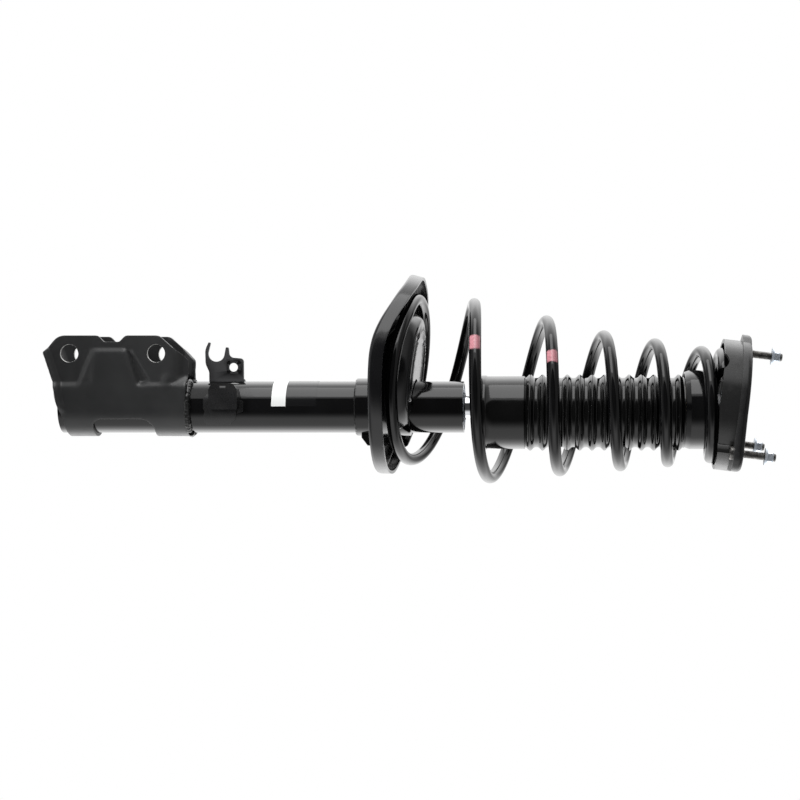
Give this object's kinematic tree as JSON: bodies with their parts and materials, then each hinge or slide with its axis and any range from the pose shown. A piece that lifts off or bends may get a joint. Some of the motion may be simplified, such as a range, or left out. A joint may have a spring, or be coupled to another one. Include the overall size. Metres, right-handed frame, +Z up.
{
  "type": "suspension strut assembly",
  "caption": "Coil-over suspension strut with a knuckle bracket, leaning spring seat, tapering coil spring, ribbed dust boot and a studded top mount.",
  "frame": {"origin": "centre of the damper tube's flat base", "axes": "+Z up the damper axis towards the top mount; -X is the side the knuckle bracket's ears point to; -Y is the side that carries the small clip bracket"},
  "size_m": [0.206, 0.1978, 0.7273],
  "materials": {
    "gloss_black": "gloss paint",
    "satin_black": "satin electro-coat",
    "label_film": "printed film, left blank",
    "spring_rubber": "matte",
    "plain_steel": "machined",
    "seal_rubber": "matte",
    "zinc_plate": "bright zinc plate",
    "rod_chrome": "polished",
    "piston_band": "filled polymer",
    "bump_foam": "closed-cell foam",
    "boot_rubber": "semi-gloss moulding",
    "boot_cup": "semi-gloss",
    "mount_black": "satin coat",
    "mount_rubber": "matte",
    "stud_steel": "plain steel thread"
  },
  "bodies": {
    "strut_body": {"strut_tube": "gloss_black", "tube_base_cap": "gloss_black", "knuckle_bracket": "satin_black", "bracket_brace": "satin_black", "bracket_weld": "satin_black", "hose_bracket": "satin_black", "clip_bracket": "gloss_black", "label": "label_film", "seat_collar": "gloss_black", "seat_weld": "gloss_black", "spring_seat": "satin_black", "lower_spring_pad": "spring_rubber", "coil_spring": "gloss_black", "pressure_tube": "plain_steel", "base_valve": "plain_steel", "rod_guide": "plain_steel", "oil_seal": "seal_rubber", "seal_cap": "zinc_plate"},
    "rod_assembly": {"piston_rod": "rod_chrome", "piston": "plain_steel", "piston_band": "piston_band", "piston_nut": "plain_steel", "rebound_stop": "seal_rubber", "bump_stop": "bump_foam", "dust_boot": "boot_rubber", "boot_cup": "boot_cup", "lower_washer": "zinc_plate", "bush_sleeve": "plain_steel", "upper_washer": "zinc_plate", "rod_nut": "zinc_plate"},
    "top_mount": {"mount_plate": "mount_black", "mount_cup": "mount_rubber", "upper_spring_insulator": "spring_rubber", "mount_bush": "spring_rubber", "top_studs": "stud_steel", "flange_nuts": "zinc_plate"}
  },
  "joints": [
    {"name": "stroke", "type": "slide", "parent": "strut_body", "child": "rod_assembly", "axis": [0, 0, -1], "range_m": [0, 0.18], "stiffness_N_per_m": 28000, "springref_m": -0.05, "deforming": ["coil_spring", "dust_boot"]},
    {"name": "mount_tilt", "type": "hinge", "parent": "rod_assembly", "child": "top_mount", "pos_m": [0, 0, 0.6556], "axis": [0, 1, 0], "range_deg": [-1.5, 1.5], "stiffness_Nm_per_rad": 150, "deforming": ["mount_bush"]}
  ]
}
